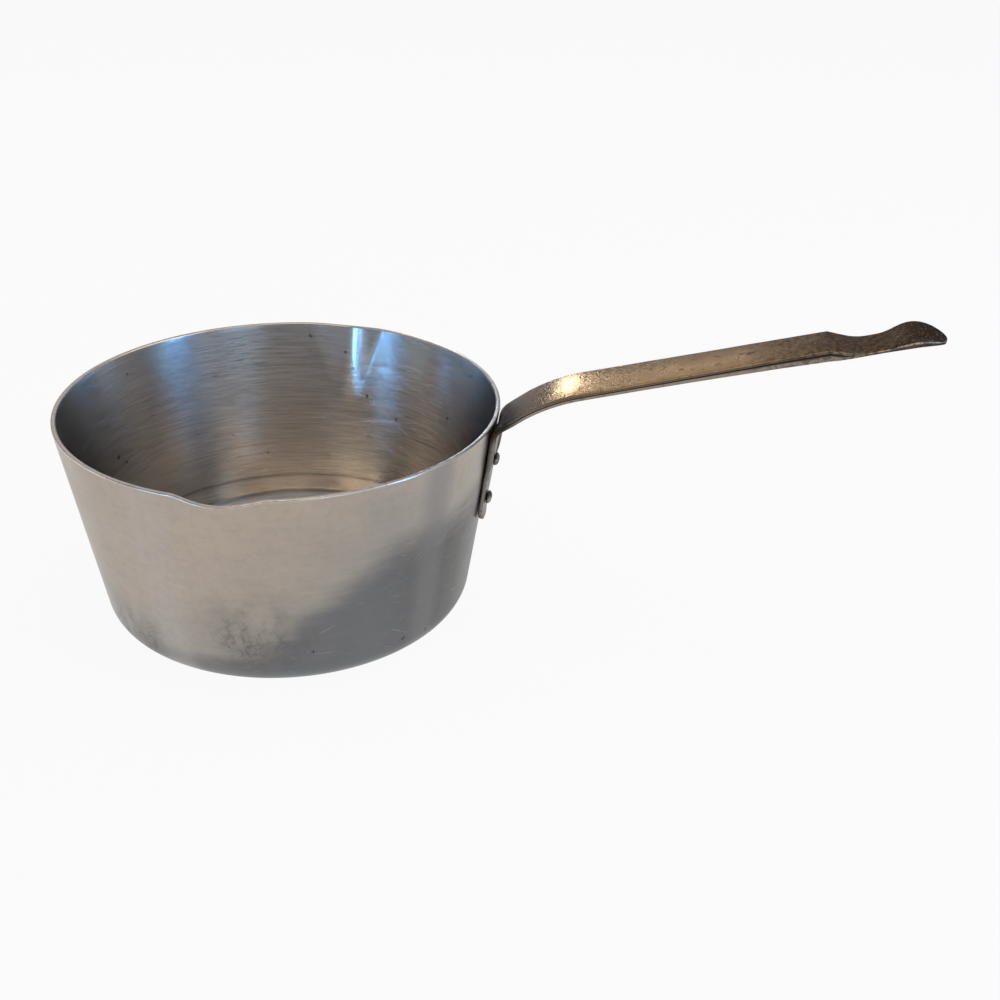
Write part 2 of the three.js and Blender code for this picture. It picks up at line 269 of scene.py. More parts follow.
def darkened(tree, color, grain):
    """The colour times a grey of the grain's brightness."""
    grey = add(tree, "ShaderNodeCombineColor", {0: grain, 1: grain, 2: grain}).outputs[0]
    return blend(tree, 1.0, color, grey, "MULTIPLY")


def turned_lines_group():
    """Fine lines left by the lathe, round the Z axis on walls and floors alike."""
    tree, given, made = new_group(
        "Turned lines", "ShaderNodeTree",
        {"Coordinates": "NodeSocketVector", "Across": "NodeSocketFloat", "Along": "NodeSocketFloat"},
        {"Lines": "NodeSocketFloat"},
    )
    at = add(tree, "ShaderNodeSeparateXYZ", {0: given["Coordinates"]}).outputs
    level = add(tree, "ShaderNodeCombineXYZ", {"X": at["X"], "Y": at["Y"]}).outputs[0]
    radius = add(tree, "ShaderNodeVectorMath", {0: level}, operation="LENGTH").outputs["Value"]
    step = calc(tree, "MULTIPLY", calc(tree, "ADD", at["Z"], radius), given["Across"])
    stretched = add(tree, "ShaderNodeCombineXYZ", {
        "X": calc(tree, "MULTIPLY", at["X"], given["Along"]),
        "Y": calc(tree, "MULTIPLY", at["Y"], given["Along"]),
        "Z": step,
    }).outputs[0]
    lines = add(tree, "ShaderNodeTexNoise", {"Vector": stretched, "Scale": 1, "Detail": 3, "Roughness": 0.65})
    tree.links.new(lines.outputs[0], made["Lines"])
    return tree


SCRATCH_TURNS = ((0.35, 0.1, 0.2), (-0.5, 0.25, 0.9), (0.15, -0.6, 2.1))


def scratches_group():
    """Thin stray scratches in a few directions, each a short streak of stretched noise."""
    tree, given, made = new_group(
        "Scratches", "ShaderNodeTree",
        {"Coordinates": "NodeSocketVector", "Length": "NodeSocketFloat", "Fineness": "NodeSocketFloat",
         "Level": "NodeSocketFloat"},
        {"Mask": "NodeSocketFloat"},
    )
    total = 0
    for turn in SCRATCH_TURNS:
        turned = add(tree, "ShaderNodeMapping", {"Vector": given["Coordinates"], "Rotation": turn}).outputs[0]
        at = add(tree, "ShaderNodeSeparateXYZ", {0: turned}).outputs
        stretched = add(tree, "ShaderNodeCombineXYZ", {
            "X": calc(tree, "MULTIPLY", at["X"], given["Length"]),
            "Y": calc(tree, "MULTIPLY", at["Y"], given["Length"]),
            "Z": calc(tree, "MULTIPLY", at["Z"], given["Fineness"]),
        }).outputs[0]
        streaks = add(tree, "ShaderNodeTexNoise", {"Vector": stretched, "Scale": 1, "Detail": 1}).outputs[0]
        cut = ramp(tree, streaks, given["Level"], calc(tree, "ADD", given["Level"], 0.06))
        total = calc(tree, "MAXIMUM", total, cut)
    tree.links.new(total, made["Mask"])
    return tree


def specks_group():
    """Small scattered pits or spots of uneven size. Share is the part of the cells that has one."""
    tree, given, made = new_group(
        "Specks", "ShaderNodeTree",
        {"Coordinates": "NodeSocketVector", "Scale": "NodeSocketFloat", "Size": "NodeSocketFloat",
         "Share": "NodeSocketFloat"},
        {"Mask": "NodeSocketFloat"},
    )
    finer = calc(tree, "MULTIPLY", given["Scale"], 2.5)
    shift = add(tree, "ShaderNodeTexNoise", {"Vector": given["Coordinates"], "Scale": finer, "Detail": 2})
    jitter = add(tree, "ShaderNodeVectorMath", {0: shift.outputs["Color"], 1: (0.5, 0.5, 0.5)},
                 operation="SUBTRACT").outputs[0]
    small = calc(tree, "DIVIDE", 0.7, given["Scale"])
    bent = add(tree, "ShaderNodeVectorMath", {0: jitter, "Scale": small}, operation="SCALE").outputs[0]
    warped = add(tree, "ShaderNodeVectorMath", {0: given["Coordinates"], 1: bent}, operation="ADD").outputs[0]
    cells = add(tree, "ShaderNodeTexVoronoi", {"Vector": warped, "Scale": given["Scale"]})
    chance = add(tree, "ShaderNodeSeparateColor", {0: cells.outputs["Color"]}).outputs
    here = calc(tree, "LESS_THAN", chance["Red"], given["Share"])
    size = calc(tree, "MULTIPLY", given["Size"], calc(tree, "MULTIPLY_ADD", chance["Green"], 0.75, 0.25))
    speck = ramp(tree, cells.outputs["Distance"], size, calc(tree, "MULTIPLY", size, 0.6))
    tree.links.new(calc(tree, "MULTIPLY", speck, here), made["Mask"])
    return tree


def blotches_group():
    """Soft patches of stain or rubbed metal, more of them the lower the Level is."""
    tree, given, made = new_group(
        "Blotches", "ShaderNodeTree",
        {"Coordinates": "NodeSocketVector", "Scale": "NodeSocketFloat", "Level": "NodeSocketFloat",
         "Softness": "NodeSocketFloat"},
        {"Mask": "NodeSocketFloat"},
    )
    field = add(tree, "ShaderNodeTexNoise", {
        "Vector": given["Coordinates"], "Scale": given["Scale"], "Detail": 6, "Roughness": 0.6,
    }).outputs[0]
    low = calc(tree, "SUBTRACT", given["Level"], given["Softness"])
    high = calc(tree, "ADD", given["Level"], given["Softness"])
    tree.links.new(ramp(tree, field, low, high), made["Mask"])
    return tree


turned_lines = turned_lines_group()
scratches = scratches_group()
specks = specks_group()
blotches = blotches_group()


def effect(tree, group, coordinates, **values):
    """One of the shared surface effects, placed in a material with its own values."""
    node = add(tree, "ShaderNodeGroup", node_tree=group)
    feed(tree, node.inputs["Coordinates"], coordinates)
    for label, value in values.items():
        node.inputs[label].default_value = value
    return node.outputs[0]


def metal(name, anisotropy=0):
    """A metal, brushed round the Z axis where it has anisotropy.

    Gives the material, its tree, its shader and its coordinates.
    """
    material = bpy.data.materials.new(name)
    material.use_nodes = True
    tree = material.node_tree
    shader = tree.nodes["Principled BSDF"]
    shader.inputs["Metallic"].default_value = 1
    if anisotropy:
        shader.inputs["Anisotropic"].default_value = anisotropy
        shader.inputs["Anisotropic Rotation"].default_value = 0.25
        tangent = add(tree, "ShaderNodeTangent", direction_type="RADIAL", axis="Z")
        tree.links.new(tangent.outputs[0], shader.inputs["Tangent"])
    return material, tree, shader, add(tree, "ShaderNodeTexCoord").outputs["Object"]


def raise_surface(tree, shader, height, distance):
    bump = add(tree, "ShaderNodeBump", {"Height": height, "Distance": distance, "Strength": 1})
    tree.links.new(bump.outputs[0], shader.inputs["Normal"])


def near(tree, place, center, reach):
    """1 at a point of the surface, falling softly to 0 at the reach."""
    away = add(tree, "ShaderNodeVectorMath", {0: place, 1: center}, operation="DISTANCE").outputs["Value"]
    return ramp(tree, away, reach, 0.2 * reach)


def patches(tree, place, centers, reach):
    """The soft patches round a few points of the surface."""
    total = 0
    for center in centers:
        total = calc(tree, "MAXIMUM", total, near(tree, place, center, reach))
    return total


WARM_WALL = (0.445, 0.375, 0.315, 1)
DULL_WALL = (0.36, 0.325, 0.285, 1)
# The dark zone's tints: partly burner tarnish, partly a painted reflection of the pan's shadow on the table.
TARNISH_AND_SHADOW_REFLECTION = (0.155, 0.158, 0.163, 1)
TARNISH_AND_SHADOW_REFLECTION_BY_HANDLE = (0.1, 0.099, 0.094, 1)
# Painted reflection of the pan's contact shadow, grey along the foot.
FOOT_SHADOW_REFLECTION = (0.2, 0.204, 0.212, 1)
# Tints of the painted reflections that stand as upright bands on the wall.
PALE_REFLECTION_BAND = (0.47, 0.43, 0.42, 1)
DARK_REFLECTION_BAND = (0.2, 0.2, 0.205, 1)
WALL_HAZE = (0.27, 0.25, 0.235, 1)
WALL_MOTTLE = (0.22, 0.2, 0.185, 1)
WALL_SCRATCH = (0.5, 0.5, 0.5, 1)
WALL_SMOKE = (0.1, 0.095, 0.09, 1)
WALL_PIT = (0.02, 0.02, 0.02, 1)
# The rim: pale from wear and a painted highlight, and a painted bluish reflection toward the handle.
WORN_RIM_AND_HIGHLIGHT = (0.98, 0.89, 0.8, 1)
RIM_REFLECTION_BY_HANDLE = (0.44, 0.48, 0.54, 1)
RIM_NICK = (0.35, 0.32, 0.29, 1)

# Where a change in the finish starts and where it is complete, along X or in height,
# and how far the edge of the dark zone climbs toward the handle.
DARK_ZONE_CLIMB_X = (-0.03, 0.085)
DARK_ZONE_CLIMB = 0.063
DARK_ZONE_HEIGHTS = (0.022, 0)
WARM_HEIGHTS = (0.018, 0.062)
BY_HANDLE_X = (0.055, 0.09)
FOOT_SHADOW_REFLECTION_HEIGHTS = (0.02, 0.003)
PITTED_HEIGHTS = (0.04, 0.01)
RIM_REFLECTION_X = (0.04, 0.09)

# Upright bands of painted reflection on the wall, pale and dark: angle, reach, share and tint.
REFLECTION_BANDS = (
    (math.radians(-107), 0.16, 0.35, PALE_REFLECTION_BAND),
    (math.radians(-31), 0.13, 0.55, DARK_REFLECTION_BAND),
    (math.radians(120), 0.2, 0.3, PALE_REFLECTION_BAND),
)
SCUFFS = ((0.015, -0.089, 0.03), (-0.05, -0.073, 0.01), (0.06, 0.066, 0.02), (-0.074, 0.049, 0.008))
SCUFF_REACH = 0.03


def pan_outside():
    """Satin aluminium: warm above, grey low down toward the handle, partly burner tarnish and partly a
    painted reflection of the pan's shadow on the table, with scuffs and pits near the base.
    """
    material, tree, shader, place = metal("pan outside", anisotropy=0.45)
    at = add(tree, "ShaderNodeSeparateXYZ", {0: place}).outputs
    lines = effect(tree, turned_lines, place, Across=1400, Along=35)
    wisps = effect(tree, turned_lines, place, Across=120, Along=16)
    wander = add(tree, "ShaderNodeTexNoise", {"Vector": place, "Scale": 16, "Detail": 5}).outputs[0]
    drift = calc(tree, "MULTIPLY_ADD", wander, 0.04, calc(tree, "MULTIPLY_ADD", wisps, 0.016, -0.022))
    height = calc(tree, "ADD", at["Z"], drift)
    # The dark zone, low on the wall and climbing toward the handle, is partly tarnish and partly painted
    # reflection of the pan's shadow.
    climb = ramp(tree, at["X"], *DARK_ZONE_CLIMB_X)
    above_dark_zone = calc(tree, "MULTIPLY_ADD", climb, -DARK_ZONE_CLIMB, height)
    warm = blend(tree, ramp(tree, above_dark_zone, *WARM_HEIGHTS), DULL_WALL, WARM_WALL)
    dark_zone = ramp(tree, above_dark_zone, *DARK_ZONE_HEIGHTS)
    dark_zone_tint = blend(tree, ramp(tree, at["X"], *BY_HANDLE_X), TARNISH_AND_SHADOW_REFLECTION, TARNISH_AND_SHADOW_REFLECTION_BY_HANDLE)
    color = blend(tree, dark_zone, warm, dark_zone_tint)
    # Painted reflection: the foot of the wall greys where it would mirror the pan's shadow on the table.
    color = lay(tree, color, ramp(tree, height, *FOOT_SHADOW_REFLECTION_HEIGHTS), 0.7, FOOT_SHADOW_REFLECTION)
    level = add(tree, "ShaderNodeCombineXYZ", {"X": at["X"], "Y": at["Y"]}).outputs[0]
    outward = add(tree, "ShaderNodeVectorMath", {0: level}, operation="NORMALIZE").outputs[0]
    # Painted reflections: soft upright bands, pale and dark, at given angles round the wall.
    for angle, reach, share, reflection_tint in REFLECTION_BANDS:
        reflection_band = near(tree, outward, (math.cos(angle), math.sin(angle), 0), reach)
        color = lay(tree, color, reflection_band, share, reflection_tint)
    haze = effect(tree, blotches, place, Scale=24, Level=0.54, Softness=0.14)
    color = lay(tree, color, haze, 0.12, WALL_HAZE)
    mottle = effect(tree, blotches, place, Scale=260, Level=0.54, Softness=0.12)
    color = lay(tree, color, mottle, 0.13, WALL_MOTTLE)
    scored = effect(tree, scratches, place, Length=60, Fineness=1100, Level=0.73)
    color = lay(tree, color, calc(tree, "MULTIPLY", scored, dark_zone), 0.28, WALL_SCRATCH)
    upright = add(tree, "ShaderNodeMapping", {"Vector": place, "Scale": (1, 1, 0.45)}).outputs[0]
    smoke = effect(tree, blotches, upright, Scale=75, Level=0.5, Softness=0.18)
    marks = effect(tree, scratches, upright, Length=260, Fineness=900, Level=0.58)
    smoked = calc(tree, "MULTIPLY", smoke, calc(tree, "MULTIPLY_ADD", marks, 0.45, 0.55))
    dirt = calc(tree, "MULTIPLY", patches(tree, place, SCUFFS, SCUFF_REACH), smoked)
    color = lay(tree, color, dirt, 0.7, WALL_SMOKE)
    specked = effect(tree, specks, place, Scale=150, Size=0.17, Share=0.5)
    pits = calc(tree, "MULTIPLY", ramp(tree, at["Z"], *PITTED_HEIGHTS), specked)
    color = lay(tree, color, pits, 0.9, WALL_PIT)
    color = darkened(tree, color, calc(tree, "MULTIPLY_ADD", lines, 0.14, 0.93))
    section = add(tree, "ShaderNodeAttribute", attribute_name="section").outputs["Fac"]
    off_rim = calc(tree, "ABSOLUTE", calc(tree, "SUBTRACT", section, RIM_MIDDLE))
    rim = ramp(tree, off_rim, *RIM_FADE)
    # The rim is pale from wear and from a painted highlight, with a painted bluish reflection toward the
    # handle.
    rim_wear_and_highlight = blend(tree, ramp(tree, at["X"], *RIM_REFLECTION_X), WORN_RIM_AND_HIGHLIGHT, RIM_REFLECTION_BY_HANDLE)
    color = lay(tree, color, rim, 0.85, rim_wear_and_highlight)
    nicks = calc(tree, "MULTIPLY", rim, effect(tree, blotches, place, Scale=330, Level=0.56, Softness=0.08))
    color = lay(tree, color, nicks, 0.25, RIM_NICK)
    tree.links.new(color, shader.inputs["Base Color"])
    rough = calc(tree, "MULTIPLY_ADD", haze, 0.06, 0.34)
    rough = calc(tree, "MULTIPLY_ADD", dirt, 0.12, rough)
    tree.links.new(calc(tree, "MULTIPLY_ADD", rim, -0.1, rough), shader.inputs["Roughness"])
    relief = calc(tree, "MULTIPLY_ADD", scored, -0.5, lines)
    relief = calc(tree, "MULTIPLY_ADD", pits, -2.0, relief)
    relief = calc(tree, "MULTIPLY_ADD", nicks, -0.6, relief)
    raise_surface(tree, shader, relief, 0.00001)
    return material


SPUN_METAL = (0.7, 0.66, 0.615, 1)
SMUDGED_METAL = (0.6, 0.56, 0.515, 1)
# Painted bluish reflection on the inner wall toward the handle.
BLUE_REFLECTION_METAL = (0.48, 0.55, 0.66, 1)
# Painted reflection near the floor: a pale band and dark rings.
FLOOR_REFLECTION_METAL = (0.9, 0.82, 0.72, 1)
DARK_REFLECTION_RING = (0.2, 0.17, 0.14, 1)
STIR_SCRATCH = (0.9, 0.87, 0.83, 1)
DARK_SMEAR = (0.16, 0.15, 0.14, 1)
DARK_PIT = (0.05, 0.045, 0.04, 1)

# Heights of the painted floor reflection and of its dark rings.
FLOOR_REFLECTION_LOW = (0.0095, 0.012)
FLOOR_REFLECTION_HIGH = (0.0185, 0.015)
DARK_RING_HEIGHTS = (0.0189, 0.0098)
DARK_RING_HALF = 0.0014
POLISHED_HEIGHTS = (0.04, 0.016)
SMEARS = ((-0.051, 0.082, 0.086), (0.071, -0.061, 0.08), (-0.04, -0.08, 0.05))
SMEAR_REACH = 0.04
STIRRED = ((0.04, 0.08, 0.05), (-0.06, -0.062, 0.04))
STIRRED_REACH = 0.06


def rings(tree, height, levels, half):
    """1 along level lines round the wall, and 0 from half their width on."""
    total = 0
    for level in levels:
        off = calc(tree, "ABSOLUTE", calc(tree, "SUBTRACT", height, level))
        total = calc(tree, "MAXIMUM", total, ramp(tree, off, half, 0))
    return total


def pan_inside():
    """Spun aluminium: turned lines, dark smears, pits and stirring scratches, a painted bluish reflection
    toward the handle, and near the floor a painted reflection: a pale band edged by dark rings.
    """
    material, tree, shader, place = metal("pan inside", anisotropy=0.6)
    at = add(tree, "ShaderNodeSeparateXYZ", {0: place}).outputs
    lines = effect(tree, turned_lines, place, Across=1900, Along=60)
    bands = effect(tree, turned_lines, place, Across=330, Along=14)
    smudge = effect(tree, blotches, place, Scale=26, Level=0.55, Softness=0.16)
    color = blend(tree, smudge, SPUN_METAL, SMUDGED_METAL)
    # Painted reflection: the inner wall turns bluish toward the handle.
    color = lay(tree, color, ramp(tree, at["X"], *BY_HANDLE_X), 0.7, BLUE_REFLECTION_METAL)
    # Painted reflection near the floor: a pale band, the floor mirrored in the wall, edged by two dark rings.
    floor_reflection = calc(tree, "MULTIPLY", ramp(tree, at["Z"], *FLOOR_REFLECTION_LOW), ramp(tree, at["Z"], *FLOOR_REFLECTION_HIGH))
    color = lay(tree, color, floor_reflection, 0.7, FLOOR_REFLECTION_METAL)
    color = lay(tree, color, rings(tree, at["Z"], DARK_RING_HEIGHTS, DARK_RING_HALF), 0.5, DARK_REFLECTION_RING)
    stirred = calc(tree, "MULTIPLY_ADD", patches(tree, place, STIRRED, STIRRED_REACH), 0.75, 0.25)
    streaks = effect(tree, scratches, place, Length=26, Fineness=1100, Level=0.67)
    scored = calc(tree, "MULTIPLY", stirred, streaks)
    color = lay(tree, color, scored, 0.6, STIR_SCRATCH)
    wiped = ramp(tree, effect(tree, turned_lines, place, Across=900, Along=90), 0.58, 0.68)
    smears = calc(tree, "MULTIPLY", patches(tree, place, SMEARS, SMEAR_REACH), wiped)
    color = lay(tree, color, smears, 0.6, DARK_SMEAR)
    pits = effect(tree, specks, place, Scale=130, Size=0.17, Share=0.5)
    color = lay(tree, color, pits, 0.85, DARK_PIT)
    grain = calc(tree, "MULTIPLY_ADD", lines, 0.9, calc(tree, "MULTIPLY_ADD", bands, 0.2, 0.45))
    tree.links.new(darkened(tree, color, grain), shader.inputs["Base Color"])
    polished = ramp(tree, at["Z"], *POLISHED_HEIGHTS)
    rough = calc(tree, "MULTIPLY_ADD", polished, -0.1, calc(tree, "MULTIPLY_ADD", lines, 0.1, 0.15))
    tree.links.new(calc(tree, "MULTIPLY_ADD", smudge, 0.06, rough), shader.inputs["Roughness"])
    relief = calc(tree, "MULTIPLY_ADD", scored, -0.6, lines)
    relief = calc(tree, "MULTIPLY_ADD", pits, -2.0, relief)
    raise_surface(tree, shader, relief, 0.00003)
    return material


pan = drawn_outline("pan_shell", pan_section())
shape_by_tree(pan, pan_tree(), {
    "Sides": PAN_SIDES, "Crowding": LIP_CROWDING, **LIP_SIZES,
    "Outside": pan_outside(), "Inside": pan_inside(),
})
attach(pan, "root")
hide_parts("pan")


# Handle: one strip of steel stamped to shape and bent. Its shank lies on the wall, its edges are
# turned down along the grip, and the end dips to hang on a rail. The plating has browned with use.
HANDLE_SHEET = 0.0017
TOE_HEIGHT = 0.0501
NECK_HEIGHT = 0.0957
NECK_RADIUS = 0.0097
NECK_RISE = math.radians(42.9)
SWEEP_RADIUS = 0.0825
GRIP_RISE = math.radians(15.2)
GRIP_LENGTH = 0.1067
CROWN = 0.0004
EDGE_HEIGHT = 0.071
FULL_EDGE_HEIGHT = 0.086
NECK_EDGE = 0.00115
GRIP_EDGE = 0.003
DIP_EDGE = 0.00015
HUMP_EDGE = 0.0018
TIP_EDGE = 0.00005
EDGE_BEND = 0.0011
CUT_EDGE = 0.0004
DIP_DEPTH = 0.00415
DIP_FALL = 0.0153
DIP_FLOOR = 0.0045
HUMP_RISE = 0.0023
HUMP_RUN = 0.0137
BEAK_LENGTH = 0.0136
BEAK_DROP = 0.0056
BEAK_HOLLOW = (0.5, 0.95)
TOE_HALF_WIDTH = 0.008
TOE_CORNER = 0.006
TOE_LIFT = 0.0009
TOE_LIFT_RUN = 0.009
SHANK_HALF_WIDTH = 0.0125
NECK_HALF_WIDTH = 0.0149
NECK_FLARE = 0.008
CORNER_HALF_WIDTH = 0.0123
DIP_HALF_WIDTH = 0.0099
HUMP_HALF_WIDTH = 0.0119
TIP_HALF_WIDTH = 0.0006
BEAK_POINT = 0.56
TIP_CUT = 0.0006
SEAT_GAP = 0.0003
LEAST_HOLLOW = 0.00002
HAMMERING = 0.00007
BLOWS_PER_METRE = 90
RIVET_HEIGHTS = (0.0603, 0.0803)
HANDLE_BEND = (0.134, 0, 0.126)

# Steps along each cut edge, each bend and the top of the section. The fold is the bend's first point.
CUT_STEPS = 4
BEND_STEPS = 7
TOP_STEPS = 18
FOLD_POINT = CUT_STEPS + 1

shank_rise = math.pi / 2 - wall_lean
neck_start = (NECK_HEIGHT - TOE_HEIGHT) / math.cos(wall_lean)
sweep_start = neck_start + NECK_RADIUS * (shank_rise - NECK_RISE)
grip_start = sweep_start + SWEEP_RADIUS * (NECK_RISE - GRIP_RISE)
dip_start = grip_start + GRIP_LENGTH
dip_end = dip_start + DIP_FALL
hump_start = dip_end + DIP_FLOOR
beak_start = hump_start + HUMP_RUN
handle_end = beak_start + BEAK_LENGTH
edge_start = (EDGE_HEIGHT - TOE_HEIGHT) / math.cos(wall_lean)
full_edge = (FULL_EDGE_HEIGHT - TOE_HEIGHT) / math.cos(wall_lean)


def passed(value, start, end):
    """The share of the way from start to end that the value has passed."""
    return min(1, max(0, (value - start) / (end - start)))


def ease(value, start, end):
    share = passed(value, start, end)
    return share * share * (3 - 2 * share)


def beak_share(distance):
    return passed(distance, beak_start, handle_end)


def fall_share(distance):
    return math.sin(passed(distance, dip_start, dip_end) * math.pi / 2)


def hump_share(distance):
    return ease(distance, hump_start, beak_start)


def track(distance):
    """The line that the sheet is bent along: its place, and the normal of the grip's top face."""
    rise = shank_rise
    x = wall_radius(TOE_HEIGHT) + SEAT_GAP * math.cos(wall_lean)
    z = TOE_HEIGHT - SEAT_GAP * math.sin(wall_lean)
    left = distance
    for length, radius in ((neck_start, None), (sweep_start - neck_start, NECK_RADIUS),
                           (grip_start - sweep_start, SWEEP_RADIUS), (handle_end - grip_start, None)):
        run = min(left, length)
        turn = run / radius if radius else 0
        chord = 2 * radius * math.sin(turn / 2) if radius else run
        x += chord * math.cos(rise - turn / 2)
        z += chord * math.sin(rise - turn / 2)
        rise -= turn
        left -= run
    return Vector((x, 0, z)), Vector((-math.sin(rise), 0, math.cos(rise)))


def sink(distance):
    """How far the sheet lies below the track, at the toe, the dip, the hump and the beak."""
    toe = max(0, 1 - distance / TOE_LIFT_RUN)
    dip = DIP_DEPTH * fall_share(distance) - HUMP_RISE * hump_share(distance)
    return TOE_LIFT * toe ** 2 + dip + BEAK_DROP * beak_share(distance) ** 2


def edge(distance):
    """How deep the turned-down edges reach below the sheet."""
    depth = (
        NECK_EDGE * ease(distance, edge_start, full_edge)
        + (GRIP_EDGE - NECK_EDGE) * passed(distance, grip_start, dip_start) ** 2
        + (DIP_EDGE - GRIP_EDGE) * fall_share(distance)
        + (HUMP_EDGE - DIP_EDGE) * hump_share(distance)
    )
    return depth + (TIP_EDGE - depth) * beak_share(distance) ** 2


def half_width(distance):
    corner = TOE_CORNER - min(distance, TOE_CORNER)
    flare = ease(distance, neck_start - NECK_FLARE, sweep_start + NECK_FLARE)
    width = (
        TOE_HALF_WIDTH - TOE_CORNER + math.sqrt(TOE_CORNER ** 2 - corner ** 2)
        + (SHANK_HALF_WIDTH - TOE_HALF_WIDTH) * ease(distance, TOE_CORNER, neck_start)
        + (NECK_HALF_WIDTH - SHANK_HALF_WIDTH) * flare
        + (CORNER_HALF_WIDTH - NECK_HALF_WIDTH) * passed(distance, sweep_start, dip_start)
        + (DIP_HALF_WIDTH - CORNER_HALF_WIDTH) * ease(distance, dip_start, dip_end)
        + (HUMP_HALF_WIDTH - DIP_HALF_WIDTH) * hump_share(distance)
    )
    return TIP_HALF_WIDTH + (width - TIP_HALF_WIDTH) * (1 - beak_share(distance) ** 2) ** BEAK_POINT


def quarter(y, down, radius, start, end, steps):
    return [(y + radius * math.cos(a), down - radius * math.sin(a)) for a in spread(start, end, steps)]


def handle_section(distance):
    """The cut sheet across the handle: its outer line and its inner line, from the near edge to the far."""
    half = half_width(distance)
    cut = TIP_CUT + (handle_end - distance) * BEAK_LENGTH / (2 * BEAK_DROP)
    depth = min(HANDLE_SHEET + edge(distance), cut)
    bend = min(EDGE_BEND, CUT_EDGE + edge(distance), depth / 2)
    round_off = min(CUT_EDGE, depth / 4)
    hollow = max(LEAST_HOLLOW, (depth - HANDLE_SHEET) * (1 - ease(beak_share(distance), *BEAK_HOLLOW)))
    inner_half = max(half - HANDLE_SHEET, half / 2)
    inner_bend = min(max(CUT_EDGE, bend - HANDLE_SHEET), hollow / 2)
    inner_round = min(CUT_EDGE, hollow / 2, (half - inner_half) / 3)
    outer = [
        *quarter(half - round_off, depth - round_off, round_off, -math.pi / 2, 0, CUT_STEPS),
        *quarter(half - bend, bend, bend, 0, math.pi / 2, BEND_STEPS),
    ]
    inner = [
        *quarter(inner_half + inner_round, depth - inner_round, inner_round,
                 -math.pi / 2, -math.pi, CUT_STEPS),
        *quarter(inner_half - inner_bend, depth - hollow + inner_bend, inner_bend,
                 0, math.pi / 2, BEND_STEPS),
    ]
    origin, normal = track(distance)
    crown = CROWN * ease(distance, neck_start, sweep_start) * min(1, edge(distance) / NECK_EDGE)
    wrap = (1 - ease(distance, neck_start, sweep_start + NECK_FLARE)) / (2 * RIM_RADIUS)
    lines = []
    for side in (outer, inner):
        flat = side[-1]
        top = [(flat[0] * share, flat[1]) for share in spread(1, -1, TOP_STEPS)[1:-1]]
        across = [*side, *top, *[(-y, down) for y, down in reversed(side)]]
        points = []
        for y, down in across:
            blow = Vector((distance * BLOWS_PER_METRE, y * BLOWS_PER_METRE, 0.5))
            dent = HAMMERING * noise.noise(blow)
            lift = crown * (1 - (y / half) ** 2) + wrap * y ** 2 - sink(distance) - down + dent
            points.append(origin + normal * lift + Vector((0, -y, 0)))
        lines.append(points)
    return lines


def handle_stations():
    """The distances along the track at which the section is drawn, closer together at the round ends."""
    def rounded(steps):
        return spread(0, math.pi / 2, steps)

    return [
        *[TOE_CORNER * (1 - math.cos(a)) for a in rounded(12)],
        *spread(TOE_CORNER, neck_start, 26)[1:],
        *spread(neck_start, sweep_start, 28)[1:],
        *spread(sweep_start, grip_start, 26)[1:],
        *spread(grip_start, dip_start, 48)[1:],
        *spread(dip_start, dip_end, 22)[1:],
        *spread(dip_end, hump_start, 8)[1:],
        *spread(hump_start, beak_start, 22)[1:],
        *[beak_start + BEAK_LENGTH * math.sin(a) for a in rounded(22)[1:]],
    ]


def handle_mesh():
    """Sections of the cut sheet joined along the track, with both ends closed and the folds marked."""
    sections = [handle_section(distance) for distance in handle_stations()]
    count = len(sections[0][0])
    points = [point for outer, inner in sections for point in (*outer, *reversed(inner))]
    loop = 2 * count
    last = (len(sections) - 1) * loop
    faces = []
    for start in range(0, last, loop):
        for i in range(loop):
            a, b = start + i, start + (i + 1) % loop
            faces.append((a, b, b + loop, a + loop))
    for i in range(count - 1):
        toe = (loop - 1 - i, loop - 2 - i, i + 1, i)
        faces.append(toe)
        faces.append(tuple(last + corner for corner in reversed(toe)))
    mesh = bpy.data.meshes.new("handle_strip")
    mesh.from_pydata(points, [], faces)
    mesh.shade_smooth()
    fold = mesh.attributes.new("fold", "FLOAT", "POINT")
    for i in range(len(points)):
        fold.data[i].value = 1 if i % loop in (FOLD_POINT, count - 1 - FOLD_POINT) else 0
    return mesh


PLATING_SHEEN = (0.7, 0.68, 0.68, 1)
BROWN_STEEL = (0.43, 0.3, 0.175, 1)
GOLDEN_STEEL = (0.52, 0.38, 0.23, 1)
END_STEEL = (0.2, 0.135, 0.085, 1)
TIP_STEEL = (0.045, 0.036, 0.028, 1)
# Painted shade on the neck, by the rim.
NECK_SHADE_STEEL = (0.34, 0.27, 0.19, 1)
# Painted shade for the turned-down sides, along the grip and at the end.
SIDE_SHADE_STEEL = (0.26, 0.222, 0.185, 1)
END_SIDE_SHADE_STEEL = (0.1, 0.075, 0.055, 1)
SHANK_STEEL = (0.17, 0.155, 0.138, 1)
# Painted shade and painted highlight along the fold.
FOLD_SHADE_LINE = (0.025, 0.015, 0.011, 1)
FOLD_HIGHLIGHT = (0.66, 0.53, 0.38, 1)
# Painted shade round the rivet heads.
RIVET_SHADE = (0.03, 0.027, 0.024, 1)
# Painted shade where the neck meets the rim.
NECK_SHADE = (0.022, 0.017, 0.012, 1)
TARNISH = (0.1, 0.07, 0.045, 1)
END_GRIT = (0.05, 0.034, 0.025, 1)
BARE_FLECK = (0.62, 0.48, 0.32, 1)
RUST_SPOT = (0.05, 0.04, 0.03, 1)

END_X = (0.19, 0.275)
TIP_X = (0.266, 0.285)
NECK_X = (0.128, 0.108)
END_SIDE_X = (0.245, 0.27)
FOLD_HIGHLIGHT_X = (0.248, 0.262)
GRITTY_X = (0.18, 0.25)
NECK_SHADE_X = (0.117, 0.106)
NECK_SHADE_HEIGHTS = (0.09, 0.098)
SHANK_HEIGHTS = (0.098, 0.086)
SIDE_FACING = (0.75, 0.25)
RIVET_SHADE_REACH = 0.0065
SHINE_REACH = 0.022
BEATEN_REACH = 0.05


